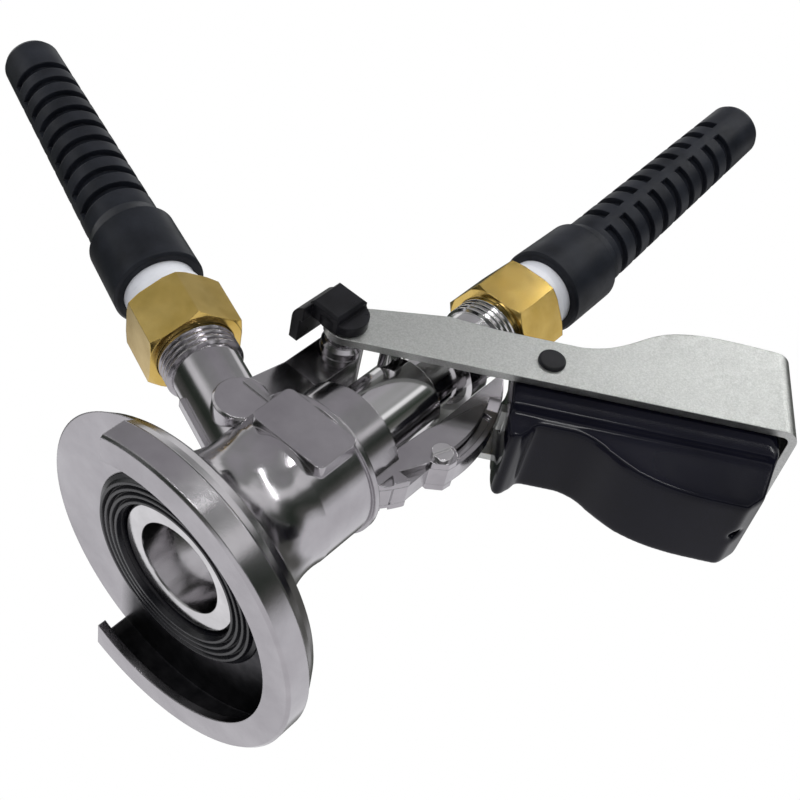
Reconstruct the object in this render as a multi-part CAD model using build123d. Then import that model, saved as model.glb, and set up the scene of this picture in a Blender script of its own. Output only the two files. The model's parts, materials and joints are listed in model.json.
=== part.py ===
"""Slide-on keg coupler with a lever: flanged stainless body, sliding probe, latched lever, two hose unions.

Millimetres. +Z is the coupler axis, away from the keg. z = 0 is the underside of the flange lip.
+X is the side of the lever's grip. The keg slides into the flange from -X, where the gas arm also points.
"""
import os
from math import cos, radians, sin, sqrt

from build123d import *

os.makedirs("parts", exist_ok=True)

# ---------------------------------------------------------------- flange and keg slot
flange_r = 46.0            # outside of the slide flange
flange_wall = 2.4          # side wall round the slot
lip_depth = 8.0            # how far the bottom lip reaches in from the outside
lip_t = 2.4                # thickness of the bottom lip
ceiling_z = 9.7            # flat seat that meets the keg
flange_plate_t = 3.3       # plate above the seat
mouth_x = -17.0            # where the wall and lip are cut off to open the slot
band_top_z = 6.8           # top of the straight band round the wall
band_step = 0.7            # step from the band in to the shoulder
plate_r = 44.0             # shoulder's outside at the seat
plate_top_r = 42.2         # shoulder's outside at the top
edge_round = 0.7           # rounding of cast and turned edges

# ---------------------------------------------------------------- seals and probe foot
foot_r = 18.7              # outside of the probe's foot
foot_bore_r = 13.0         # polished bore in the foot
foot_h = 20.0              # straight part of the foot
foot_cone_h = 6.0          # cone from the foot up to the tube
foot_rest_gap = 0.4        # foot's face above the seat when released
foot_clear = 0.4           # radial clearance of the foot in its chamber
seal_r = 27.5              # outside of the bottom lip seal
seal_proud = 1.8           # how far the seal stands below the seat
seal_depth = 3.6           # recess of the seal in the seat
seal_ribs = 4
seal_gap = 0.25            # gap between the seal's lip and the foot
o_ring_d = 1.5             # wire of the O-ring on the foot
o_ring_clear = 0.15
o_ring_drop = 3.0          # O-ring below the top of the foot

# ---------------------------------------------------------------- probe tube and top outlet
tube_r = 11.5
tube_bore_r = 4.2
tube_top_z = 98.0          # shoulder at the top of the wide tube
waist_r = 8.8
collar_z = 110.0
collar_r = 12.6
collar_h = 7.0
collar_cup = 2.4           # recess under the collar
beer_nut_z = 134.2         # near face of the beer nut
thread_r = 11.45           # outside of the outlet thread
thread_pitch = 1.814       # 14 turns to the inch
thread_depth = 1.0
thread_turns = 4           # turns that show below the nut

ball_r = 5.0               # beer check ball
ball_pocket = 18.0         # depth of the ball's pocket in the outlet
ball_lift = 2.4
cage_r = 8.4

# ---------------------------------------------------------------- body
neck_foot_r = 41.2         # foot of the hollow-sided neck on the flange
neck_waist_r = 24.5        # middle of the neck's curve
neck_waist_z = 24.0
neck_top_z = 42.0
body_r = 20.5
body_top_z = 60.5
pad_half = 12.0            # half width of the flat side pads
pad_y = 20.9               # faces of the side pads
pad_z0 = 44.0
barrel_r = 17.0
barrel_top_z = 73.0
chamber_top_z = 38.0       # wide chamber round the foot
gas_chamber_r = 16.0
gas_chamber_top_z = 56.0
bush_t = 2.0               # wall of the guide bush
bush_clear = 0.08          # probe in its guide bush
seat_gap = 0.05            # gap between assembled pieces that don't move

# ---------------------------------------------------------------- gas arm
gas_axis_z = 44.0          # where the arm's axis meets the main axis
gas_angle = 21.0           # rise of the arm above level
gas_arm_r = 10.1
gas_nut_s = 52.6           # near face of the gas nut, along the arm
gas_bore_r = 4.0
gas_boss_s = 24.0          # cross boss on the arm
gas_boss_r = 7.8
gas_boss_y = 12.0
gas_rib_t = 3.0            # rib under the arm

# ---------------------------------------------------------------- hose unions (both sides)
nut_flats = 27.0
nut_h = 18.0
nut_engage = 10.0          # thread inside the nut
nut_clear = 0.15
nut_chamfer = 1.6
washer_t = 1.5
tail_flange_t = 3.0
tail_flange_r = 10.9
tail_r = 6.2
tail_bore_r = 3.6
barb_r = 6.9
barb_count = 4
barb_pitch = 5.0
ferrule_r = 11.7           # wide band next to the nut
ferrule_neck_r = 10.9
ferrule_band_h = 4.4
ferrule_show = 8.5         # ferrule seen between nut and sleeve
ferrule_h = 24.0
sleeve_r = 13.7            # mouth of the bend protector
sleeve_end_r = 13.4
sleeve_h = 21.5
sleeve_shoulder_h = 5.0
guard_r = 11.2             # ribbed part next to the sleeve
guard_tip_r = 9.3
guard_h = 114.3
guard_bore_r = 6.0         # hose bore at the tip
guard_slots = 9            # slots on each side, staggered
guard_slot_w = 3.4
guard_slot_depth = 2.0
guard_slot_y = 1.5         # half of the plain spine between the slots' ends
guard_plain_tip = 12.0
beer_lean = 6.5            # the beer guard leans towards -Y at its shoulder

# ---------------------------------------------------------------- lever and pivot
pivot_x = -19.9            # behind the tube
pivot_z = 89.4
lever_up = 33.5            # angle of the released lever above level
lever_swing = 42.0         # travel down to the engaged position
probe_travel = 10.0        # travel of the probe over the lever's swing
arm_in_y = 15.6            # inner faces of the fork's arms
strip_t = 2.4
strip_low = 6.8            # straight lower edge below the pivot line
strip_root_h = 6.0         # upper edge at the pivot, and the root's reach behind it
strip_rise_u = 27.6        # where the upper edge is at its first height
strip_rise_h = 10.4
strip_neck_u = 41.9        # start of the plain arm
strip_neck_h = 9.2         # upper edge along the plain arm
strip_neck_l = 23.1        # length of the plain arm
strip_hump_h = 23.9        # upper edge at the end bend
strip_swell_l = 23.0       # from the end of the plain arm to the top of the swell
strip_swell_h = 20.8
lever_len = 127.5          # pivot to the outside of the end bend
end_bend_r = 4.5
pivot_r = 3.2
pivot_fit = 0.05
hub_r = 5.1                # turned end next to the arm
hub_bulge_r = 6.1          # rounded boss behind it
hub_bulge_y = 10.8         # where the bulge ends
hub_groove = 0.5
web_half = 8.4             # half width of the web that carries the pivot
web_foot_half = 12.5       # half width of the web where it meets the body
pivot_washer_t = 0.55
screw_head_r = 4.6
screw_head_t = 2.2
stud_r = 3.0
stud_clear = 0.25          # stud in the probe's side slot
stud_bite = 4.4            # stud's reach inside the outline of the tube

# ---------------------------------------------------------------- pivot cap, measured from the pivot
cap_r = 6.8                # round part against the arm
cap_x = -2.3               # its centre
cap_z = 0.4
cap_round_t = 3.0
cap_back = 8.6             # block over the screw
cap_front = 1.5
cap_low = 6.0
cap_top = 5.8
cap_t = 5.6                # from the arm's outer face outwards
cap_gap = 0.1
skirt_t = 2.9              # skirt behind the arm's round end
skirt_low = 9.5
skirt_high = 3.5
skirt_in_y = 10.0

# ---------------------------------------------------------------- latch
quadrant_r = 47.0          # notched arc about the lever pivot
quadrant_t = 6.4
quadrant_low = -9.5       # lower end of the arc, degrees from level
quadrant_high = 42.0
quadrant_in_x = 14.2
notch_depth = 3.6
catch_angle = 26.0         # where the released catch sits when the lever is up
catch_gap = 0.3            # released catch above the arc
notch_lead = 0.8           # the catch rises this much as it drops in
catch_half = 1.8
latch_clear = 0.75         # catch in its notch
tongue_z = 62.0            # bottom of the quadrant's tongue in the rib
cheek_r = 43.2             # outer edge of the rib's cheeks, about the pivot
cheek_high = 21.0          # upper end of the cheeks, degrees from level
cheek_boss_r = 4.4         # cheeks round the slotted pin
recess_r = 45.4            # crescent recess in the quadrant's sides
recess_depth = 1.0
rib_half = 5.4
pin_r = 2.2
pin_head_r = 3.0
pin_head_t = 1.3
pin_angle = -8.5          # slotted pin, about the pivot
pin_in = 3.9               # slotted pin inside the arc

# ---------------------------------------------------------------- grip
grip_end_clear = 0.8       # grip's inner end outside the arc
rivet_past_arc = 10.2      # rivet outside the arc
rivet_n = 1.3
rivet_r = 3.2
rivet_head_r = 3.9
rivet_head_t = 1.1
rivet_fit = 0.08
grip_end_gap = 1.6         # gap to the end bend
grip_side_gap = 0.6
grip_top = 15.0
grip_nose = 5.0            # height of the inner end above the lever's line
fin_deep = 24.0            # finger fin at the inner end
fin_t = 4.2
fin_root = 8.4             # from the inner end to the fin's root
grip_waist = 18.4          # depth behind the fin
waist_l = 9.6              # level part of the waist
grip_deep = 32.5           # depth at the palm end
grip_toe = 10.5            # slope from the deepest point to the end face
grip_belly_half = 13.0     # half width below the crease
grip_crease = 13.9         # depth of the crease
grip_round = 1.4
grip_corner_r = 4.0        # corners at the end bend, seen from above
spring_half = 5.0          # half length of the grip's spring
spring_r = 4.1
spring_wire_r = 0.5
catch_w = 9.0              # width of the steel catch
catch_l = 9.0

# ---------------------------------------------------------------- worked out
foot_z = ceiling_z + foot_rest_gap
flange_top_z = ceiling_z + flange_plate_t
arm_out_y = arm_in_y + strip_t
stud_arm = probe_travel / (2 * sin(radians(lever_swing / 2)))
stud_x = pivot_x + stud_arm * cos(radians(lever_swing / 2))
stud_z = pivot_z + stud_arm * sin(radians(lever_swing / 2))
screw_in_y = web_half - 4.0
rivet_u = quadrant_r + rivet_past_arc
grip_u0 = quadrant_r + grip_end_clear
pin_x = pivot_x + (quadrant_r - pin_in) * cos(radians(pin_angle))
pin_z = pivot_z + (quadrant_r - pin_in) * sin(radians(pin_angle))
chamber_r = foot_r + foot_clear
o_ring_r = chamber_r - o_ring_clear - o_ring_d / 2
beer_end_z = beer_nut_z + nut_engage
gas_end_s = gas_nut_s + nut_engage
ball_floor_z = beer_end_z - ball_pocket
ball_seat_z = ball_floor_z + sqrt(ball_r ** 2 - tube_bore_r ** 2) + seat_gap

gas_plane = Plane(origin=(0, 0, gas_axis_z), x_dir=(0, 1, 0),
                  z_dir=(-cos(radians(gas_angle)), 0, sin(radians(gas_angle))))
lever_place = Location((pivot_x, 0, pivot_z)) * Rotation(0, -lever_up, 0)


def rod(r, z0, z1):
    """Cylinder about Z from z0 to z1."""
    return Pos(0, 0, (z0 + z1) / 2) * Cylinder(r, z1 - z0)


def ring(r_out, r_in, z0, z1):
    """Tube about Z."""
    return rod(r_out, z0, z1) - rod(r_in, z0 - 1, z1 + 1)


def cross_rod(r, x, z, y0, y1):
    """Cylinder parallel to Y."""
    return Pos(x, (y0 + y1) / 2, z) * Rotation(90, 0, 0) * Cylinder(r, abs(y1 - y0))


def box(x0, x1, y0, y1, z0, z1):
    """Box between two corners."""
    return Pos((x0 + x1) / 2, (y0 + y1) / 2, (z0 + z1) / 2) * Box(x1 - x0, y1 - y0, z1 - z0)


def turned(*points):
    """Solid of revolution about Z from (r, z) corners."""
    with BuildPart() as p:
        with BuildSketch(Plane.XZ):
            with BuildLine():
                Polyline(*points, close=True)
            make_face()
        revolve(axis=Axis.Z)
    return p.part


def thread_points(z_nut):
    """(r, z) corners of the turns that show below a nut, going up."""
    points = []
    for i in range(thread_turns, 0, -1):
        z = z_nut - i * thread_pitch
        points += [(thread_r - thread_depth, z + 0.1), (thread_r, z + 0.4 * thread_pitch),
                   (thread_r, z + 0.6 * thread_pitch), (thread_r - thread_depth, z + thread_pitch)]
    return points[:-1]


def side_plate(points, y0, y1):
    """Plate with an outline of (x, z) corners, from y0 to y1."""
    face = make_face(Polyline(*[(x, -z) for x, z in points], close=True))
    return Pos(0, y0, 0) * Rotation(-90, 0, 0) * extrude(face, y1 - y0)


def mirrored(shape):
    """The shape and its mirror image on the other side of y = 0."""
    return [shape, mirror(shape, Plane.XZ)]


def save(name, shape):
    """One STEP file for each piece."""
    solids = shape if isinstance(shape, list) else [shape]
    flat = [s for piece in solids for s in piece.solids()]
    out = flat[0] if len(flat) == 1 else Compound(children=flat)
    export_step(out, f"parts/{name}.step")


# ================================================================ body
def flange():
    """Slide flange: seat plate with a sloping shoulder, side wall and bottom lip, open towards -X."""
    outside = turned((0, 0), (flange_r - edge_round, 0), (flange_r, edge_round), (flange_r, band_top_z),
                     (flange_r - band_step, band_top_z + band_step), (plate_r, ceiling_z),
                     (plate_top_r, flange_top_z - edge_round), (plate_top_r - edge_round, flange_top_z),
                     (0, flange_top_z))
    inside = rod(flange_r - flange_wall, lip_t, ceiling_z) + rod(flange_r - lip_depth, -1, lip_t)
    mouth = box(-2 * flange_r, mouth_x, -2 * flange_r, 2 * flange_r, -1, ceiling_z)
    return outside - inside - mouth


def neck():
    """Hollow-sided neck, round body and barrel."""
    with BuildPart() as p:
        with BuildSketch(Plane.XZ):
            with BuildLine():
                start = (neck_foot_r, flange_top_z)
                ThreePointArc(start, (neck_waist_r, neck_waist_z), (body_r, neck_top_z))
                Polyline((body_r, neck_top_z), (body_r, body_top_z), (barrel_r + 1.2, body_top_z + 1.2),
                         (barrel_r, body_top_z + 2.4), (barrel_r, barrel_top_z), (0, barrel_top_z),
                         (0, flange_top_z - 1), (neck_foot_r, flange_top_z - 1), start)
            make_face()
        revolve(axis=Axis.Z)
    collar = ring(body_r + 0.9, body_r - 3, body_top_z - 2.2, body_top_z - 0.6)
    return p.part + collar


def side_pads():
    """Flat pads on both sides of the body, below the pivot ears."""
    pad = box(-pad_half, pad_half, 10, pad_y, pad_z0, body_top_z - 2.2)
    return fillet(pad.edges().filter_by(Axis.Y), 2.0)


def pivot_web():
    """Web behind the probe that carries the pivot, with a turned hub towards each arm."""
    y_hub = arm_in_y - pivot_washer_t - seat_gap
    y_ring = hub_bulge_y + 1.2
    profile = [(0, 0), (hub_bulge_r, 0), (hub_bulge_r, hub_bulge_y), (hub_r, y_ring), (hub_r, y_ring + hub_groove),
               (hub_r - hub_groove, y_ring + hub_groove), (hub_r - hub_groove, y_ring + 2 * hub_groove),
               (hub_r, y_ring + 2 * hub_groove), (hub_r, y_hub), (0, y_hub)]
    hub = Pos(pivot_x, 0, pivot_z) * Rotation(-90, 0, 0) * turned(*profile)
    back = pivot_x - hub_bulge_r
    front = pivot_x + hub_bulge_r
    upper = box(back, front, -web_half, web_half, barrel_top_z, pivot_z)
    with BuildPart() as foot:
        with BuildSketch(Plane.XY.offset(body_top_z - 4)):
            with Locations((pivot_x, 0)):
                Rectangle(2 * hub_bulge_r, 2 * web_foot_half)
        with BuildSketch(Plane.XY.offset(barrel_top_z)):
            with Locations((pivot_x, 0)):
                Rectangle(2 * hub_bulge_r, 2 * web_half)
        loft()
    return hub + mirror(hub, Plane.XZ) + upper + foot.part


def gas_arm():
    """Arm with cross boss, rib and threaded stub."""
    thread_s = gas_nut_s - thread_turns * thread_pitch
    tube = gas_plane * rod(gas_arm_r, 8, thread_s + 1)
    stub = gas_plane * turned((0, thread_s), *thread_points(gas_nut_s), (thread_r, gas_end_s), (0, gas_end_s))
    boss_x = -gas_boss_s * cos(radians(gas_angle))
    boss_z = gas_axis_z + gas_boss_s * sin(radians(gas_angle))
    boss = cross_rod(gas_boss_r, boss_x, boss_z, -gas_boss_y, gas_boss_y)
    boss = chamfer(boss.edges(), edge_round)
    rib_l = thread_s - 8
    under = gas_plane * Pos(0, 0, rib_l / 2) * Box(gas_rib_t, 2 * gas_arm_r + 2.4, rib_l)
    return tube + stub + boss + under


def latch_outline(shape):
    """Cuts a plate back to the latch's arc and to its lower end, where the engaged catch hooks under."""
    low = [quadrant_point(quadrant_low, quadrant_r), quadrant_point(quadrant_low - 5.0, quadrant_r - 3.0)]
    below = side_plate([low[0], low[1], (low[1][0], tongue_z), (2 * quadrant_r, tongue_z),
                        (2 * quadrant_r, low[0][1])], -2 * rib_half, 2 * rib_half)
    return (shape & cross_rod(quadrant_r, pivot_x, pivot_z, -2 * rib_half, 2 * rib_half)) - below


def latch_rib():
    """Rib on the grip's side whose two cheeks hold the latch quadrant, with a boss for the slotted pin."""
    top = quadrant_point(cheek_high, cheek_r)
    outline = [(body_r - 6, pad_z0), (body_r + 0.6, pad_z0 + 2), (body_r + 0.6, tongue_z + 4), (40, tongue_z + 8),
               (40, top[1]), (top[0] - 2.0, top[1] + 1.0), (quadrant_in_x + 2.0, pivot_z + 5.0),
               (quadrant_in_x, pivot_z - 3.0), (quadrant_in_x - 1.0, barrel_top_z), (barrel_r - 3, barrel_top_z)]
    blank = side_plate(outline, -rib_half, rib_half)
    foot = blank & box(0, 40, -rib_half, rib_half, 0, tongue_z + 8)
    cheeks = blank & cross_rod(cheek_r, pivot_x, pivot_z, -rib_half, rib_half)
    boss = cross_rod(cheek_boss_r, pin_x, pin_z, -rib_half, rib_half)
    rib = latch_outline(foot + cheeks + boss)
    gap = quadrant_t / 2 + seat_gap
    slot = box(barrel_r + 0.5, 60, -gap, gap, tongue_z - seat_gap, 200)
    slot += box(0, 60, -gap, gap, barrel_top_z, 200)
    pocket = side_plate([(18.2, 62.5), (21.0, 65.2), (18.4, 67.8)], rib_half - 0.9, rib_half + 1)
    rib -= slot
    for cut in mirrored(pocket):
        rib -= cut
    return rib


def body_bores():
    """Everything bored out of the body."""
    gas = gas_plane * rod(gas_bore_r, 10, gas_end_s + 1)
    pocket = gas_plane * rod(8.0, gas_end_s - 9, gas_end_s + 1)
    return [
        rod(seal_r + 0.1, ceiling_z - 1, ceiling_z + seal_depth),
        rod(chamber_r, 0, chamber_top_z),
        rod(gas_chamber_r, 0, gas_chamber_top_z),
        rod(tube_r + bush_clear + bush_t, 0, barrel_top_z + 40),
        gas, pocket,
    ]


def body_casting():
    """The whole casting."""
    solid = flange() + neck() + gas_arm()
    for piece in mirrored(side_pads()) + [pivot_web()]:
        solid += piece
    solid += latch_rib()
    for bore in body_bores():
        solid -= bore
    for hole in mirrored(cross_rod(pivot_r - 1, pivot_x, pivot_z, screw_in_y, arm_in_y)):
        solid -= hole
    return solid - cross_rod(pin_r, pin_x, pin_z, -rib_half - 1, rib_half + 1)


def bottom_seal():
    """Rubber face seal with concentric ribs."""
    r_in = foot_r + seal_gap + 0.35
    z_back = ceiling_z + seal_depth - seat_gap
    z_face = ceiling_z - seal_proud
    pitch = (seal_r - 1.0 - r_in) / seal_ribs
    points = [(r_in, z_back), (r_in, z_face + 1.2)]
    for i in range(seal_ribs):
        r0 = r_in + i * pitch
        points += [(r0 + 0.25 * pitch, z_face), (r0 + 0.65 * pitch, z_face), (r0 + 0.9 * pitch, z_face + 1.1)]
    points += [(seal_r, z_face + 1.6), (seal_r, z_back)]
    return turned(*points)


# ================================================================ probe
def probe():
    """Foot, tube, waist, collar and threaded outlet in one turned piece, with side slots for the studs."""
    z0 = foot_z
    foot_top = z0 + foot_h
    tube_z = foot_top + foot_cone_h
    outer = turned((0, z0), (foot_r - 0.5, z0), (foot_r, z0 + 0.5), (foot_r, foot_top), (tube_r, tube_z),
                   (tube_r, tube_top_z - 0.8), (tube_r - 0.8, tube_top_z), (waist_r, tube_top_z + 1.5),
                   (waist_r, collar_z + collar_cup), (collar_r - 2, collar_z + collar_cup), (collar_r - 2, collar_z),
                   (collar_r, collar_z), (collar_r, collar_z + collar_h),
                   (thread_r - thread_depth, collar_z + collar_h + 1.5), *thread_points(beer_nut_z),
                   (thread_r, beer_end_z), (0, beer_end_z))
    bore = turned((0, z0 - 1), (foot_bore_r + 0.5, z0 - 1), (foot_bore_r, z0 + 0.5), (foot_bore_r, foot_top),
                  (tube_bore_r, foot_top + 6), (tube_bore_r, ball_floor_z), (cage_r, ball_floor_z),
                  (cage_r, beer_end_z + 1), (0, beer_end_z + 1))
    solid = outer - bore
    half_h = stud_r + stud_clear
    reach = half_h + 1.2
    slot = box(stud_x - reach, stud_x + reach, tube_r - stud_bite - 0.5, tube_r + 1, stud_z - half_h, stud_z + half_h)
    for cut in mirrored(slot):
        solid -= cut
    groove_z = foot_top - o_ring_drop
    groove_half = o_ring_d / 2 + 2 * seat_gap
    return solid - ring(foot_r + 1, o_ring_r - groove_half, groove_z - groove_half, groove_z + groove_half)


def foot_o_ring():
    """O-ring that seals the foot in its chamber."""
    return Pos(0, 0, foot_z + foot_h - o_ring_drop) * Torus(o_ring_r, o_ring_d / 2)


def ball_cage():
    """Plastic cage that keeps the ball over its seat."""
    r = cage_r - seat_gap
    z1 = beer_end_z - seat_gap
    cage = ring(r, ball_r + 0.35, ball_floor_z + seat_gap, z1)
    stop_z = ball_seat_z + ball_r + ball_lift + 0.2
    stop = rod(r - 0.5, stop_z, stop_z + 2.0)
    for k in range(3):
        stop -= Rotation(0, 0, 120 * k) * Pos(3.2, 0, stop_z + 1) * Cylinder(1.5, 4)
    return cage + stop


def guide_bush():
    """Plastic bush that guides the tube in the barrel."""
    r_in = tube_r + bush_clear
    bush = ring(r_in + bush_t - seat_gap, r_in, gas_chamber_top_z + 1, barrel_top_z - 3.5)
    return bush


def wiper_ring():
    """Rubber wiper at the top of the barrel."""
    r_in = tube_r + 0.3
    r_out = tube_r + bush_clear + bush_t - seat_gap
    z0 = barrel_top_z - 3.4
    return turned((r_in + 0.7, z0), (r_out, z0), (r_out, barrel_top_z), (r_in, barrel_top_z), (r_in + 0.7, z0 + 1.5))


# ================================================================ hose unions, built about Z from the nut's near face
def union_nut():
    """Hexagon nut with chamfered corners and an inner shoulder."""
    corner_r = nut_flats / 2 / cos(radians(30))
    hexagon = extrude(RegularPolygon(nut_flats / 2, 6, major_radius=False), nut_h)
    limit = turned((0, 0), (corner_r - nut_chamfer, 0), (corner_r, nut_chamfer * 0.6),
                   (corner_r, nut_h - nut_chamfer * 0.6), (corner_r - nut_chamfer, nut_h), (0, nut_h))
    shoulder = nut_engage + washer_t + tail_flange_t + nut_clear
    return (hexagon & limit) - rod(thread_r + nut_clear, -1, shoulder) - rod(tail_r + 1.0, -1, nut_h + 1)


def seal_washer():
    """Flat washer between the stub and the tail."""
    return ring(tail_flange_r - 0.4, tail_bore_r + 0.6, nut_engage, nut_engage + washer_t)


def hose_tail():
    """Barbed hose tail with the flange that the nut pulls on."""
    z0 = nut_engage + washer_t
    z1 = z0 + tail_flange_t
    barb_z = nut_h + 12.0
    points = [(tail_bore_r, z0), (tail_flange_r, z0), (tail_flange_r, z1), (tail_r, z1), (tail_r, barb_z)]
    for i in range(barb_count):
        z = barb_z + i * barb_pitch
        points += [(barb_r, z), (tail_r - 0.6, z + barb_pitch)]
    points += [(tail_bore_r, barb_z + barb_count * barb_pitch)]
    return turned(*points)


def ferrule():
    """White two-step ferrule on the tail."""
    z0 = nut_h + 0.3
    z1 = z0 + ferrule_band_h
    z2 = z0 + ferrule_h
    r_in = barb_r + 0.2
    return turned((tail_r + seat_gap, z0), (ferrule_r - 0.5, z0), (ferrule_r, z0 + 0.5), (ferrule_r, z1 - 0.4),
                  (ferrule_neck_r, z1), (ferrule_neck_r, z2), (r_in, z2), (r_in, z0 + 10), (tail_r + seat_gap, z0 + 10))


def bend_protector(lean):
    """Rubber bend protector: smooth sleeve, then a tapered guard with staggered slots, leaning at the shoulder."""
    z0 = nut_h + ferrule_show
    z_sleeve = z0 + sleeve_h
    z_guard = z_sleeve + sleeve_shoulder_h
    z1 = z0 + guard_h
    z_in = nut_h + 0.3 + ferrule_h + 1.0
    sleeve = turned((0, z0), (sleeve_r - 0.8, z0), (sleeve_r, z0 + 0.8), (sleeve_end_r, z_sleeve), (0, z_sleeve))
    guard = turned((0, z_sleeve - 1), (sleeve_end_r - 0.3, z_sleeve - 1), (sleeve_end_r - 0.3, z_sleeve),
                   (guard_r, z_guard), (guard_tip_r, z1 - 2.0), (guard_tip_r - 0.7, z1 - 0.5),
                   (guard_tip_r - 1.6, z1), (0, z1))
    first = z_guard + 4.0
    pitch = (z1 - guard_plain_tip - first) / guard_slots
    for i in range(2 * guard_slots):
        z = first + i * pitch / 2
        r_here = guard_r + (guard_tip_r - guard_r) * (z - z_guard) / (z1 - z_guard)
        cut = ring(r_here + 3, r_here - guard_slot_depth, z - guard_slot_w / 2, z + guard_slot_w / 2)
        turn = 90 if i % 2 else -90
        half = Rotation(0, 0, turn) * Pos(0, guard_slot_y + 20, z) * Box(60, 40, 20)
        guard -= cut & half
    bore = rod(guard_bore_r + 1.6, z_in - 1, z1 - 24) + rod(guard_bore_r, z_in, z1 + 1)
    tilt = Pos(0, 0, z_sleeve) * Rotation(lean, 0, 0) * Pos(0, 0, -z_sleeve)
    return sleeve + tilt * guard - rod(ferrule_neck_r + seat_gap, z0 - 1, z_in) - tilt * bore


def gas_check_valve():
    """Rubber duckbill valve in the end of the gas stub."""
    z1 = gas_end_s - seat_gap
    flange_part = ring(7.7, 3.0, z1 - 2.0, z1)
    bill = turned((3.0, z1 - 2.0), (5.6, z1 - 2.0), (5.2, z1 - 4.5), (1.6, z1 - 8.4), (0.6, z1 - 8.4), (2.2, z1 - 4.5))
    return flange_part + bill


def valve_ring():
    """Ring that backs the duckbill valve in its pocket."""
    z1 = gas_end_s - 2.0 - 2 * seat_gap
    return ring(7.9, 6.2, gas_end_s - 9 + seat_gap, z1)


# ================================================================ lever, in its own frame: X along the arm from the pivot
def lever_fork():
    """One bent strip: two arms and the end bend round the grip."""
    plan_out = Pos(lever_len / 2 - 10, 0, 0) * Rectangle(lever_len + 20, 2 * arm_out_y)
    corners = plan_out.vertices().group_by(Axis.X)[-1]
    plan_out = fillet(corners, end_bend_r)
    plan_in = Pos((lever_len - strip_t) / 2 - 20, 0, 0) * Rectangle(lever_len - strip_t + 40, 2 * arm_in_y)
    corners = plan_in.vertices().group_by(Axis.X)[-1]
    plan_in = fillet(corners, end_bend_r - strip_t)
    band = Pos(0, 0, -40) * extrude(plan_out - plan_in, 80)
    left = ThreePointArc((0, strip_low), (-strip_root_h, 0), (0, -strip_root_h))
    hump_foot = strip_neck_u + strip_neck_l
    swell = (hump_foot + strip_swell_l, -strip_swell_h)
    corner = (lever_len - end_bend_r, -strip_hump_h)
    top = Polyline((0, -strip_root_h), (strip_rise_u, -strip_rise_h), (strip_neck_u, -strip_neck_h),
                   (hump_foot, -strip_neck_h))
    hump = Spline((hump_foot, -strip_neck_h), swell, corner, tangents=[(1, -0.1), (1, 0.06)])
    past = lever_len + 5
    end = Polyline(corner, (past, -strip_hump_h + 1.5), (past, strip_low), (0, strip_low))
    outline = make_face([left, top, hump, end])
    silhouette = Pos(0, -60, 0) * Rotation(-90, 0, 0) * extrude(outline, 120)
    strip = band & silhouette
    strip -= cross_rod(pivot_r + pivot_fit, 0, 0, -60, 60)
    strip -= cross_rod(rivet_r, rivet_u, rivet_n, -60, 60)
    return strip


def grip_profile():
    """Side outline of the grip, with depth counted downwards."""
    u1 = lever_len - strip_t - grip_end_gap
    deep_u = u1 - grip_toe
    waist_u = grip_u0 + fin_root + waist_l
    root_u = grip_u0 + fin_root
    top = Spline((grip_u0, -grip_nose), (grip_u0 + 20, -grip_nose - 3.5), (u1 - 34, -grip_top), (u1 - 4, -grip_top),
                 tangents=[(1, -0.05), (1, 0.1)])
    back = Polyline((u1 - 4, -grip_top), (u1, -grip_top + 5), (u1, 9), (u1 - 5.5, grip_deep - 5.0), (deep_u, grip_deep))
    steps = ((0.86, 0.99), (0.59, 0.92), (0.27, 0.5))
    bends = [(waist_u + k * (deep_u - waist_u), grip_waist + f * (grip_deep - grip_waist)) for k, f in steps]
    belly = Spline((deep_u, grip_deep), *bends, (waist_u, grip_waist), tangents=[(-1, -0.04), (-1, -0.05)])
    waist = Line((waist_u, grip_waist), (root_u, grip_waist))
    fin = Spline((root_u, grip_waist), (grip_u0 + fin_t + 1.6, grip_waist + 3.0), (grip_u0 + fin_t, fin_deep - 1.0),
                 tangents=[(-1, 0.1), (-0.15, 1)])
    nose = Polyline((grip_u0 + fin_t, fin_deep - 1.0), (grip_u0 + fin_t - 1.2, fin_deep), (grip_u0 + 1.4, fin_deep),
                    (grip_u0 + 0.6, fin_deep - 1.0), (grip_u0, grip_waist), (grip_u0, -grip_nose))
    return make_face([top, back, belly, waist, fin, nose])


def lever_grip():
    """Moulded grip between the arms: finger fin, waist and deep palm end."""
    u1 = lever_len - strip_t - grip_end_gap
    half = arm_in_y - grip_side_gap
    block = Pos(0, -half, 0) * Rotation(-90, 0, 0) * extrude(grip_profile(), 2 * half)
    crease = -grip_crease
    low = -grip_deep - 2
    section = make_face(Polyline((-half, 30), (half, 30), (half, crease), (grip_belly_half, crease - grip_round),
                                 (grip_belly_half, low), (-grip_belly_half, low),
                                 (-grip_belly_half, crease - grip_round), (-half, crease), close=True))
    envelope = Plane(origin=(20, 0, 0), x_dir=(0, 1, 0), z_dir=(1, 0, 0)) * extrude(section, 120)
    plan = Pos((u1 + grip_u0) / 2 - 10, 0, 0) * Rectangle(u1 - grip_u0 + 20, 2 * half)
    plan = fillet(plan.vertices().group_by(Axis.X)[-1], grip_corner_r)
    grip = block & envelope & Pos(0, 0, -60) * extrude(plan, 120)
    slot_half = quadrant_t / 2 + 1.0
    grip -= box(grip_u0 - 5, grip_u0 + 0.8, -slot_half, slot_half, -60, 60)
    grip -= cross_rod(rivet_r + rivet_fit, rivet_u, rivet_n, -60, 60)
    pocket = spring_r + spring_wire_r + 0.4
    grip -= box(rivet_u - pocket, rivet_u + pocket, -spring_half - 0.8, spring_half + 0.8, rivet_n - pocket, 60)
    grip -= Pos(u1 - 10, 0, -grip_deep) * Cylinder(1.6, 12)
    u, n = catch_tip()
    return grip - box(u + 1.0, u + catch_l, -catch_w / 2, catch_w / 2, n - catch_half, n + catch_half)


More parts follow.
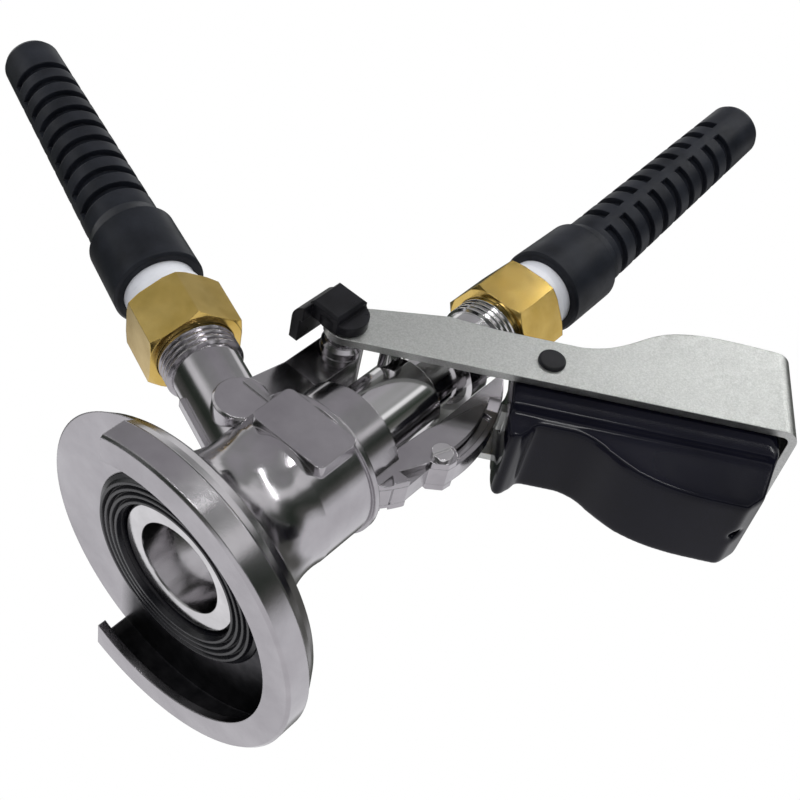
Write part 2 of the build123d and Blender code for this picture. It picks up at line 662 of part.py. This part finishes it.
def catch_tip():
    """Middle of the released catch's tip in the lever's frame."""
    a = radians(catch_angle - lever_up)
    r = quadrant_r + catch_gap
    return r * cos(a), r * sin(a)


def grip_catch():
    """Steel catch in the grip, clear of the quadrant until the grip drops back."""
    u, n = catch_tip()
    w = catch_w / 2 - seat_gap
    h = catch_half - seat_gap
    tip = box(u, u + 3, -quadrant_t / 2 - 0.6, quadrant_t / 2 + 0.6, n - h + 0.3, n + h - 0.3)
    return box(u + 1.6, u + catch_l - seat_gap, -w, w, n - h, n + h) + tip


def grip_spring():
    """Torsion spring round the rivet."""
    helix = Helix(pitch=2 * spring_half / 6, height=2 * spring_half - 2, radius=spring_r)
    start = Plane(origin=helix @ 0, z_dir=helix % 0)
    coil = sweep(start * Circle(spring_wire_r), path=helix, is_frenet=True)
    return Pos(rivet_u, 0, rivet_n) * Rotation(90, 0, 0) * Pos(0, 0, -spring_half + 1) * coil


def grip_rivet():
    """Rivet through both arms and the grip."""
    shank = cross_rod(rivet_r, rivet_u, rivet_n, -arm_out_y, arm_out_y)
    heads = [cross_rod(rivet_head_r, rivet_u, rivet_n, arm_out_y, arm_out_y + rivet_head_t)]
    heads = [fillet(h.edges().sort_by(Axis.Y)[-1:], 0.6) for h in heads]
    for head in mirrored(heads[0]):
        shank += head
    return shank


def drive_stud():
    """Stud from an arm into the probe's side slot."""
    a = radians(lever_swing / 2 - lever_up)
    return cross_rod(stud_r, stud_arm * cos(a), stud_arm * sin(a), tube_r - stud_bite, arm_in_y)


def pivot_cap():
    """Black moulded cap over the pivot screw, with a skirt behind the round end of the arm."""
    y0 = arm_out_y + cap_gap
    y1 = arm_out_y + cap_t
    block = chamfer(box(-cap_back, cap_front, y0, y1, -cap_low, cap_top).faces().sort_by(Axis.Y)[-1].edges(), 0.8)
    disc = cross_rod(cap_r, cap_x, cap_z, y0, y0 + cap_round_t)
    disc += cross_rod(screw_head_r + 1.4, 0, 0, y0, y0 + cap_round_t)
    back = -cap_back - skirt_t
    inner = -cap_back + 1
    plan = make_face([ThreePointArc((inner, y1 - 0.6), (back + 1.2, y1 - 2.6), (back, y0 - 1.0)),
                      Polyline((back, y0 - 1.0), (back, skirt_in_y), (-cap_back, skirt_in_y), (-cap_back, y0),
                               (inner, y0), (inner, y1 - 0.6))])
    skirt = Pos(0, 0, -skirt_low) * extrude(plan, skirt_low + skirt_high)
    cavity = cross_rod(screw_head_r + 0.35, 0, 0, y0 - 1, arm_out_y + screw_head_t + 0.5)
    return Pos(pivot_x, 0, pivot_z) * (block + disc + skirt - cavity)


# ================================================================ pivots and latch, in the coupler's frame
def pivot_screw():
    """Shoulder screw: head outside the arm, shoulder in the arm, thread in the hub."""
    y_hub = arm_in_y - pivot_washer_t - seat_gap
    thread = cross_rod(pivot_r - 1 - seat_gap, pivot_x, pivot_z, screw_in_y + 1, y_hub)
    shoulder = cross_rod(pivot_r, pivot_x, pivot_z, y_hub, arm_out_y + 0.15)
    head = cross_rod(screw_head_r, pivot_x, pivot_z, arm_out_y + 0.15, arm_out_y + screw_head_t)
    return thread + shoulder + head


def pivot_washer():
    """Washer between hub and arm."""
    y1 = arm_in_y - 0.03
    disc = cross_rod(hub_r, pivot_x, pivot_z, y1 - pivot_washer_t, y1)
    return disc - cross_rod(pivot_r + 0.02, pivot_x, pivot_z, 0, 40)


def quadrant_point(angle, r):
    """Point at an angle and radius about the pivot."""
    return (pivot_x + r * cos(radians(angle)), pivot_z + r * sin(radians(angle)))


def latch_quadrant():
    """Notched plate: its arc is centred on the lever pivot."""
    top_x, top_z = quadrant_point(quadrant_high, quadrant_r)
    tongue_x = barrel_r + 1.3
    step_z = barrel_top_z + 1.0
    outline = [(60, tongue_z), (60, top_z), (top_x, top_z), (quadrant_in_x, top_z - 1.5), (quadrant_in_x, step_z),
               (tongue_x, step_z), (tongue_x, tongue_z)]
    half = quadrant_t / 2
    plate = latch_outline(side_plate(outline, -half, half) - box(body_r, 60, -half, half, 0, tongue_z + 4))
    x, z = quadrant_point(catch_angle, quadrant_r)
    notch = Pos(0, 0, notch_lead) * Box(2 * notch_depth, 4 * quadrant_t, 2 * (catch_half + latch_clear))
    plate -= Pos(x, 0, z) * Rotation(0, -catch_angle, 0) * notch
    crescent = cross_rod(recess_r, pivot_x, pivot_z, half - recess_depth, half + 1)
    crescent -= cross_rod(cheek_r - 1.5, pivot_x, pivot_z, 0, 2 * half)
    crescent &= box(0, 60, 0, 2 * half, pin_z + cheek_boss_r, pivot_z + 16)
    for cut in mirrored(crescent):
        plate -= cut
    return plate - cross_rod(pin_r, pin_x, pin_z, -20, 20)


def quadrant_screw():
    """Slotted pin that holds the quadrant between the cheeks."""
    shank = cross_rod(pin_r - seat_gap, pin_x, pin_z, -rib_half, rib_half)
    head = cross_rod(pin_head_r, pin_x, pin_z, -rib_half - pin_head_t, -rib_half)
    slot = Pos(pin_x, -rib_half - pin_head_t, pin_z) * Rotation(0, 20, 0) * Box(0.9, 1.4, 12)
    return shank + head - slot


def beer_side(shape):
    """Places a union piece on the probe's outlet."""
    return Pos(0, 0, beer_nut_z) * shape


def gas_side(shape):
    """Places a union piece on the gas arm."""
    return gas_plane * Pos(0, 0, gas_nut_s) * shape


def lever_side(shape):
    """Places a lever piece at the pivot."""
    if isinstance(shape, list):
        return [lever_place * s for s in shape]
    return lever_place * shape


save("body_casting", body_casting())
save("bottom_seal", bottom_seal())
save("guide_bush", guide_bush())
save("wiper_ring", wiper_ring())
save("probe", probe())
save("probe_foot_o_ring", foot_o_ring())
save("beer_check_ball", Pos(0, 0, ball_seat_z) * Sphere(ball_r))
save("beer_ball_cage", ball_cage())
save("gas_check_valve", gas_plane * gas_check_valve())
save("gas_valve_ring", gas_plane * valve_ring())
for side, place in (("beer", beer_side), ("gas", gas_side)):
    save(f"{side}_union_nut", place(union_nut()))
    save(f"{side}_seal_washer", place(seal_washer()))
    save(f"{side}_hose_tail", place(hose_tail()))
    save(f"{side}_ferrule", place(ferrule()))
    save(f"{side}_bend_protector", place(bend_protector(beer_lean if side == "beer" else 0)))
save("lever_fork", lever_side(lever_fork()))
save("lever_grip", lever_side(lever_grip()))
save("grip_catch", lever_side(grip_catch()))
save("grip_spring", lever_side(grip_spring()))
save("grip_rivet", lever_side(grip_rivet()))
save("drive_studs", lever_side(mirrored(drive_stud())))
save("pivot_caps", mirrored(pivot_cap()))
save("pivot_screws", mirrored(pivot_screw()))
save("pivot_washers", mirrored(pivot_washer()))
save("latch_quadrant", latch_quadrant())
save("quadrant_screw", quadrant_screw())
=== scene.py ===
"""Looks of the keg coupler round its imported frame: materials, soft-edged grip, light and camera. Metres."""
import json

import bpy
from mathutils import Matrix, Vector


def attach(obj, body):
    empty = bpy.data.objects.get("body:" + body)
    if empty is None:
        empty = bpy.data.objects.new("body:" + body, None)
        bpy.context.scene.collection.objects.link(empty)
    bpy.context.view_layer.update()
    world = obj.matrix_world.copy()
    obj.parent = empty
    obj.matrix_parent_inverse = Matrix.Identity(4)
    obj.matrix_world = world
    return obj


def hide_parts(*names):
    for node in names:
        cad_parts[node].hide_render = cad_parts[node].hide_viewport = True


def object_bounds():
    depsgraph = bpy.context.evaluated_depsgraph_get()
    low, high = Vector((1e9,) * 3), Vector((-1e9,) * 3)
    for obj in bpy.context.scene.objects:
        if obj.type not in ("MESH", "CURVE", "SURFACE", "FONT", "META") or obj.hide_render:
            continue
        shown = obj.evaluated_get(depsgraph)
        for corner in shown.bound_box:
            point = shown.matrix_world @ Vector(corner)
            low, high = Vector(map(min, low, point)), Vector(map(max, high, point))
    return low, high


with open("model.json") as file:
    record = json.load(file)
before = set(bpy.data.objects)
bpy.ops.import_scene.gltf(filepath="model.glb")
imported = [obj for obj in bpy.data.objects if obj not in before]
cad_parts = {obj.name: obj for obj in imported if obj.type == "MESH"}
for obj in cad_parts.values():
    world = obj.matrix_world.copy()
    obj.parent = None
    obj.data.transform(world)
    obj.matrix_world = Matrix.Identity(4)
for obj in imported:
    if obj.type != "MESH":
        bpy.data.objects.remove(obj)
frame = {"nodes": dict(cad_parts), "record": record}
cad_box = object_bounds()
nodes = frame["nodes"]
MIDDLE = (cad_box[0] + cad_box[1]) / 2
MM = 0.001


# ---------------------------------------------------------------- node helpers
def feed(tree, value, socket):
    """Link a socket to another, or give it a plain value."""
    if hasattr(value, "is_linked"):
        tree.links.new(value, socket)
    else:
        socket.default_value = value


def calc(tree, operation, first, second):
    """One math node; each input is a socket or a number."""
    made = tree.nodes.new("ShaderNodeMath")
    made.operation = operation
    for value, socket in zip((first, second), made.inputs):
        feed(tree, value, socket)
    return made.outputs[0]


def calc_vector(tree, operation, *values):
    """Outputs of one vector math node, Vector and Value; each input is a socket or a vector."""
    made = tree.nodes.new("ShaderNodeVectorMath")
    made.operation = operation
    for value, socket in zip(values, made.inputs):
        feed(tree, value, socket)
    return made.outputs


def blend(tree, share, first, second):
    """Mix of two shaders; the share is the second one's."""
    made = tree.nodes.new("ShaderNodeMixShader")
    for source, socket in zip((share, first, second), made.inputs):
        tree.links.new(source, socket)
    return made.outputs["Shader"]


# ---------------------------------------------------------------- material helpers
RAMP_SPAN = (0.3, 0.7)              # most levels of a noise lie between these

# the wall round the keg slot, inside the flange
SLOT_WALL_FOOT = 2.3 * MM
SLOT_WALL_TOP = 9.9 * MM
SLOT_WALL_REACH = 43.8 * MM         # from the coupler's axis
SLOT_FADE_START = -19.0 * MM        # x over which the dark of the wall fades in from the slot's mouth
SLOT_FADE_END = -14.0 * MM


class Look:
    """A node material round one Principled shader, whose plain color and roughness lie under its patterns."""

    def __init__(self, name, color, roughness, metallic=0.0, **sockets):
        self.mat = bpy.data.materials.new(name)
        self.mat.use_nodes = True
        self.tree = self.mat.node_tree
        self.shader = self.tree.nodes["Principled BSDF"]
        self.shader.inputs["Base Color"].default_value = (*color, 1)
        self.shader.inputs["Roughness"].default_value = roughness
        self.shader.inputs["Metallic"].default_value = metallic
        for socket, value in sockets.items():
            self.shader.inputs[socket.replace("_", " ")].default_value = value
        self.normal = None

    def node(self, kind, **inputs):
        made = self.tree.nodes.new(kind)
        for socket, value in inputs.items():
            made.inputs[socket].default_value = value
        return made

    def link(self, source, target):
        self.tree.links.new(source, target)

    def place(self, stretch):
        """Object coordinates, stretched."""
        coord = self.node("ShaderNodeTexCoord")
        mapping = self.node("ShaderNodeMapping", Scale=stretch)
        self.link(coord.outputs["Object"], mapping.inputs["Vector"])
        return mapping.outputs["Vector"]

    def noise(self, scale, detail=4.0, stretch=(1, 1, 1)):
        made = self.node("ShaderNodeTexNoise", Scale=scale, Detail=detail, Roughness=0.55)
        self.link(self.place(stretch), made.inputs["Vector"])
        return made.outputs["Fac"]

    def ramp(self, source, low, high):
        """Colours or levels from low to high over the span of a noise."""
        made = self.node("ShaderNodeValToRGB")
        for stop, at, value in zip(made.color_ramp.elements, RAMP_SPAN, (low, high)):
            stop.position = at
            stop.color = (*value, 1) if isinstance(value, tuple) else (value, value, value, 1)
        self.link(source, made.inputs["Fac"])
        return made.outputs["Color"]

    def vary(self, socket, low, high, scale, detail=4.0, stretch=(1, 1, 1)):
        """Let a noise move one of the shader's inputs between two colours or levels."""
        pattern = self.noise(scale, detail, stretch)
        self.link(self.ramp(pattern, low, high), self.shader.inputs[socket])

    def grain(self, scale, detail, strength, depth, stretch=(1, 1, 1)):
        """Bumps from a noise, on top of the normal so far."""
        made = self.node("ShaderNodeBump", Strength=strength, Distance=depth)
        self.link(self.noise(scale, detail, stretch), made.inputs["Height"])
        if self.normal:
            self.link(self.normal, made.inputs["Normal"])
        self.normal = made.outputs["Normal"]
        self.link(self.normal, self.shader.inputs["Normal"])

    def round_edges(self, radius):
        """Soft highlight along every edge."""
        made = self.node("ShaderNodeBevel", Radius=radius)
        made.samples = 4
        self.normal = made.outputs["Normal"]
        self.link(self.normal, self.shader.inputs["Normal"])

    def slot_wall(self):
        """1 inside the wall round the keg slot, 0 elsewhere."""
        coord = self.node("ShaderNodeTexCoord").outputs["Object"]
        apart = self.node("ShaderNodeSeparateXYZ")
        self.link(coord, apart.inputs[0])
        flat = calc_vector(self.tree, "MULTIPLY", coord, (1, 1, 0))["Vector"]
        reach = calc_vector(self.tree, "LENGTH", flat)["Value"]
        fade = self.node("ShaderNodeMapRange")
        fade.inputs["From Min"].default_value = SLOT_FADE_START
        fade.inputs["From Max"].default_value = SLOT_FADE_END
        self.link(apart.outputs["X"], fade.inputs["Value"])
        above = calc(self.tree, "GREATER_THAN", apart.outputs["Z"], SLOT_WALL_FOOT)
        below = calc(self.tree, "LESS_THAN", apart.outputs["Z"], SLOT_WALL_TOP)
        inside = calc(self.tree, "LESS_THAN", reach, SLOT_WALL_REACH)
        level = calc(self.tree, "MULTIPLY", above, below)
        level = calc(self.tree, "MULTIPLY", level, inside)
        return calc(self.tree, "MULTIPLY", level, fade.outputs["Result"])


# ---------------------------------------------------------------- materials
SLOT_WALL_DULLNESS = 0.2                  # roughness added on top, inside the slot's wall
MIX_FIRST, MIX_SECOND = 6, 7        # colour sockets of a Mix node, whose names aren't unique
MIX_RESULT = 2


def cast_steel():
    """Polished casting, very dark and rougher inside the slot's wall."""
    look = Look("cast_steel_polished", (0.40, 0.39, 0.41), roughness=0.2, metallic=1.0)
    look.round_edges(0.5 * MM)
    polished = look.ramp(look.noise(60), (0.37, 0.355, 0.375), (0.49, 0.475, 0.495))
    # very dark colour that the code gives the inside of the slot's wall
    slot_wall_dark = look.ramp(look.noise(300), (0.030, 0.030, 0.034), (0.075, 0.073, 0.080))
    inside = look.slot_wall()
    mix = look.node("ShaderNodeMix")
    mix.data_type = "RGBA"
    look.link(inside, mix.inputs["Factor"])
    look.link(polished, mix.inputs[MIX_FIRST])
    look.link(slot_wall_dark, mix.inputs[MIX_SECOND])
    look.link(mix.outputs[MIX_RESULT], look.shader.inputs["Base Color"])
    gloss = look.ramp(look.noise(90), 0.11, 0.21)
    dull = calc(look.tree, "MULTIPLY", inside, SLOT_WALL_DULLNESS)
    look.link(calc(look.tree, "ADD", gloss, dull), look.shader.inputs["Roughness"])
    look.grain(scale=220, detail=3, strength=0.06, depth=0.3 * MM)
    look.grain(scale=1500, detail=2, strength=0.04, depth=0.1 * MM)
    return look.mat


def polished_steel():
    """Turned and polished, with faint streaks along the axis."""
    look = Look("turned_steel_polished", (0.50, 0.49, 0.50), roughness=0.12, metallic=1.0)
    look.round_edges(0.3 * MM)
    look.vary("Base Color", (0.60, 0.59, 0.60), (0.74, 0.73, 0.74), scale=120, detail=3, stretch=(1, 1, 0.08))
    look.vary("Roughness", 0.08, 0.16, scale=260, detail=3, stretch=(1, 1, 0.05))
    look.grain(scale=700, detail=2, strength=0.10, depth=0.1 * MM, stretch=(1, 1, 0.04))
    return look.mat


def strip_steel():
    """Satin sheet of the fork, with fine grain."""
    look = Look("strip_steel_satin", (0.47, 0.48, 0.465), roughness=0.38, metallic=1.0)
    look.round_edges(0.4 * MM)
    look.vary("Base Color", (0.43, 0.44, 0.425), (0.56, 0.57, 0.555), scale=2200, detail=2)
    look.vary("Roughness", 0.34, 0.46, scale=700, detail=3)
    look.grain(scale=2200, detail=2, strength=0.18, depth=0.1 * MM)
    return look.mat


def brass():
    look = Look("brass_polished", (0.72, 0.50, 0.13), roughness=0.16, metallic=1.0)
    look.round_edges(0.4 * MM)
    look.vary("Base Color", (0.62, 0.42, 0.10), (0.80, 0.58, 0.20), scale=70)
    look.vary("Roughness", 0.12, 0.24, scale=110)
    look.grain(scale=260, detail=3, strength=0.06, depth=0.2 * MM)
    return look.mat


def grip_plastic():
    """Gloss black moulding; its edges are soft in the mesh itself."""
    look = Look("grip_black_gloss", (0.004, 0.004, 0.008), roughness=0.13, Specular_IOR_Level=0.16)
    look.vary("Base Color", (0.003, 0.003, 0.006), (0.006, 0.006, 0.012), scale=35)
    look.vary("Roughness", 0.11, 0.17, scale=80)
    look.grain(scale=160, detail=2, strength=0.03, depth=0.3 * MM)
    return look.mat


def cap_plastic():
    look = Look("cap_black_satin", (0.008, 0.008, 0.010), roughness=0.32, Specular_IOR_Level=0.2)
    look.round_edges(0.5 * MM)
    look.vary("Base Color", (0.005, 0.005, 0.006), (0.012, 0.012, 0.015), scale=120)
    look.vary("Roughness", 0.27, 0.38, scale=200)
    look.grain(scale=900, detail=2, strength=0.08, depth=0.1 * MM)
    return look.mat


def hose_rubber():
    look = Look("bend_protector_rubber", (0.008, 0.009, 0.012), roughness=0.42, Specular_IOR_Level=0.18)
    look.round_edges(0.6 * MM)
    look.vary("Base Color", (0.005, 0.006, 0.009), (0.014, 0.016, 0.022), scale=90)
    look.vary("Roughness", 0.36, 0.5, scale=150)
    look.grain(scale=700, detail=3, strength=0.15, depth=0.15 * MM)
    return look.mat


def seal_rubber():
    look = Look("seal_rubber_gloss", (0.006, 0.006, 0.008), roughness=0.24, Specular_IOR_Level=0.4)
    look.round_edges(0.3 * MM)
    look.vary("Base Color", (0.004, 0.004, 0.006), (0.010, 0.010, 0.014), scale=150)
    look.vary("Roughness", 0.2, 0.3, scale=180)
    look.grain(scale=800, detail=2, strength=0.08, depth=0.1 * MM)
    return look.mat


def white_plastic():
    look = Look("ferrule_white", (0.56, 0.57, 0.60), roughness=0.32)
    look.round_edges(0.4 * MM)
    look.vary("Base Color", (0.58, 0.59, 0.63), (0.68, 0.69, 0.72), scale=80)
    look.vary("Roughness", 0.28, 0.38, scale=160)
    look.grain(scale=600, detail=2, strength=0.05, depth=0.1 * MM)
    return look.mat


# ---------------------------------------------------------------- materials on the CAD nodes
LOOKS = {
    "cast_steel": cast_steel(),
    "polished_steel": polished_steel(),
    "strip_steel": strip_steel(),
    "brass": brass(),
    "grip_plastic": grip_plastic(),
    "cap_plastic": cap_plastic(),
    "hose_rubber": hose_rubber(),
    "seal_rubber": seal_rubber(),
    "white_plastic": white_plastic(),
}

for part in frame["record"]["subparts"]:
    mesh = nodes[part["node"]].data
    mesh.materials.clear()
    mesh.materials.append(LOOKS[part["material_slot"]])


# ---------------------------------------------------------------- the moulded grip, with soft edges
def moulded(node, body, slot, voxel, rounds):
    """A copy of a CAD node with the soft edges of a moulding, which stands for it."""
    mesh = nodes[node].data.copy()
    piece = bpy.data.objects.new(node + "_moulded", mesh)
    bpy.context.scene.collection.objects.link(piece)
    remesh = piece.modifiers.new("voxels", "REMESH")
    remesh.mode = "VOXEL"
    remesh.voxel_size = voxel
    soften = piece.modifiers.new("soften", "SMOOTH")
    soften.factor = 0.5
    soften.iterations = rounds
    graph = bpy.context.evaluated_depsgraph_get()
    soft = bpy.data.meshes.new_from_object(piece.evaluated_get(graph))
    piece.modifiers.clear()
    piece.data = soft
    soft.materials.clear()
    soft.materials.append(LOOKS[slot])
    soft.shade_smooth()
    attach(piece, body)
    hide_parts(node)


moulded("lever_grip", "grip", "grip_plastic", voxel=0.5 * MM, rounds=50)


# ---------------------------------------------------------------- camera and light, as named values
CAMERA_PLACE = (0.1289, -0.2754, -0.1297)
CAMERA_RIGHT = Vector((0.749, -0.169, 0.641)).normalized()
CAMERA_UP = Vector((-0.568, -0.662, 0.489)).normalized()
LENS = 61.07                        # millimetres
SENSOR = 36.0

FLOOR_RADIUS = 2.5
FLOOR_GAP = 0.2 * MM                # between the flange's lip and the floor
FLOOR_GLOW = 0.45                   # share of plain white in what the camera sees of the floor
UNDER_FLANGE = 45.0 * MM            # the floor within this reach of the axis lets light through

STUDIO_UP = CAMERA_UP               # towards the lit side of the studio
SOFT_LIGHT = 0.5
CLOUD_SCALE = 1.7
CLOUD_SHARE = 0.45                  # how far slow noise moves the bands
GRIP_LINE = (0.834, 0, 0.552)       # direction of the grip's long edges
BROAD = (0.6, 0.6)                  # size of a soft lamp

# how bright the studio is from its table side (0) to its lit side (1), as shiny surfaces show it
STUDIO_BANDS = (
    (0.00, (0.82, 0.81, 0.83)),
    (0.36, (0.90, 0.90, 0.92)),
    (0.44, (0.14, 0.14, 0.13)),
    (0.56, (0.03, 0.04, 0.03)),
    (0.67, (0.10, 0.11, 0.10)),
    (0.73, (0.95, 0.95, 0.95)),
    (0.80, (1.00, 1.00, 1.00)),
    (0.87, (0.33, 0.34, 0.33)),
    (1.00, (0.42, 0.41, 0.43)),
)


# ---------------------------------------------------------------- floor, world, lights
def pale_floor():
    """Round pale floor; from below it is clear, and so is its middle to all light but the camera's view."""
    bpy.ops.mesh.primitive_circle_add(
        vertices=96, radius=FLOOR_RADIUS, fill_type="NGON", location=(0, 0, -FLOOR_GAP))
    floor = bpy.context.object
    floor.name = "floor"
    floor.visible_glossy = False
    look = Look("pale_floor", (0.86, 0.86, 0.87), roughness=0.7)
    look.vary("Base Color", (0.85, 0.85, 0.86), (0.88, 0.88, 0.89), scale=3)
    spot = look.node("ShaderNodeNewGeometry").outputs
    ray = look.node("ShaderNodeLightPath").outputs
    reach = calc_vector(look.tree, "LENGTH", spot["Position"])["Value"]
    covered = calc(look.tree, "LESS_THAN", reach, UNDER_FLANGE)
    unseen = calc(look.tree, "SUBTRACT", 1.0, ray["Is Camera Ray"])
    lets_light_in = calc(look.tree, "MULTIPLY", covered, unseen)
    clear = calc(look.tree, "MAXIMUM", lets_light_in, spot["Backfacing"])
    glow = look.node("ShaderNodeEmission", Color=(0.97, 0.97, 0.98, 1))
    glow_share = calc(look.tree, "MULTIPLY", ray["Is Camera Ray"], FLOOR_GLOW)
    pale = blend(look.tree, glow_share, look.shader.outputs["BSDF"], glow.outputs["Emission"])
    glass = look.node("ShaderNodeBsdfTransparent")
    surface = blend(look.tree, clear, pale, glass.outputs["BSDF"])
    look.link(surface, look.tree.nodes["Material Output"].inputs["Surface"])
    floor.data.materials.append(look.mat)


def studio_bands(tree):
    """Colour of the studio in each direction, by how far it turns to the lit side."""
    coord = tree.nodes.new("ShaderNodeTexCoord").outputs["Generated"]
    rise = calc_vector(tree, "DOT_PRODUCT", coord, STUDIO_UP)["Value"]
    cloud = tree.nodes.new("ShaderNodeTexNoise")
    cloud.inputs["Scale"].default_value = CLOUD_SCALE
    cloud.inputs["Detail"].default_value = 1.0
    tree.links.new(coord, cloud.inputs["Vector"])
    wander = calc(tree, "MULTIPLY", cloud.outputs["Fac"], CLOUD_SHARE)
    level = calc(tree, "ADD", calc(tree, "MULTIPLY", rise, 0.5), 0.5 - CLOUD_SHARE / 2)
    level = calc(tree, "ADD", level, wander)
    ramp = tree.nodes.new("ShaderNodeValToRGB")
    stops = ramp.color_ramp.elements
    while len(stops) < len(STUDIO_BANDS):
        stops.new(0.5)
    for stop, (at, color) in zip(stops, STUDIO_BANDS):
        stop.position = at
        stop.color = (*color, 1)
    tree.links.new(level, ramp.inputs["Fac"])
    return ramp.outputs["Color"]


def studio_world():
    """Soft light on dull surfaces, the studio's bands in shiny ones, and white behind the coupler."""
    world = bpy.data.worlds.new("studio")
    bpy.context.scene.world = world
    world.use_nodes = True
    tree = world.node_tree
    soft = tree.nodes["Background"]
    soft.inputs["Color"].default_value = (0.95, 0.97, 1.0, 1)
    soft.inputs["Strength"].default_value = SOFT_LIGHT
    shine = tree.nodes.new("ShaderNodeBackground")
    tree.links.new(studio_bands(tree), shine.inputs["Color"])
    white = tree.nodes.new("ShaderNodeBackground")
    white.inputs["Color"].default_value = (1, 1, 1, 1)
    ray = tree.nodes.new("ShaderNodeLightPath").outputs
    shiny = calc(tree, "MAXIMUM", ray["Is Glossy Ray"], ray["Is Transmission Ray"])
    lit = blend(tree, shiny, soft.outputs["Background"], shine.outputs["Background"])
    seen = blend(tree, ray["Is Camera Ray"], lit, white.outputs["Background"])
    tree.links.new(seen, tree.nodes["World Output"].inputs["Surface"])


def stand(place, right, up, back):
    """Matrix of a camera or lamp at a place, by its three directions."""
    return Matrix.Translation(place) @ Matrix((right, up, back)).transposed().to_4x4()


def lamp(name, place, size, power, along=(1, 0, 0), shines=False):
    """Area lamp that faces the middle, its long side along a direction; only one that shines is reflected."""
    light = bpy.data.lights.new(name, "AREA")
    light.shape = "RECTANGLE"
    light.size, light.size_y = size
    light.energy = power
    back = (Vector(place) - MIDDLE).normalized()
    right = (Vector(along) - back * back.dot(Vector(along))).normalized()
    box = bpy.data.objects.new(name, light)
    box.matrix_world = stand(place, right, back.cross(right), back)
    box.visible_glossy = shines
    bpy.context.scene.collection.objects.link(box)


def main_camera():
    """Looks up from below the flange's open side."""
    camera = bpy.data.cameras.new("camera")
    camera.sensor_width = SENSOR
    camera.lens = LENS
    camera.clip_start = 0.01
    thing = bpy.data.objects.new("camera", camera)
    thing.matrix_world = stand(CAMERA_PLACE, CAMERA_RIGHT, CAMERA_UP, CAMERA_RIGHT.cross(CAMERA_UP))
    bpy.context.scene.collection.objects.link(thing)
    bpy.context.scene.camera = thing


pale_floor()
studio_world()
lamp("key_front", place=(-0.40, -0.70, 0.35), size=BROAD, power=1.5)
lamp("key_above", place=(-0.30, -0.30, 0.80), size=BROAD, power=2.2)
lamp("under", place=(0.10, -0.45, -0.50), size=(0.5, 0.5), power=1.0)
lamp("fill_right", place=(0.7, 0.1, 0.35), size=BROAD, power=1.3)
for name, offset, size, power in (
    ("strip_above", (0.06, -0.55, 0.72), (0.6, 0.04), 1.0),
    ("strip_front", (-0.06, -0.90, 0.09), (0.5, 0.05), 1.8),
):
    lamp(name, MIDDLE + Vector(offset), size, power, along=GRIP_LINE, shines=True)
main_camera()
bpy.context.scene.view_settings.view_transform = "Standard"
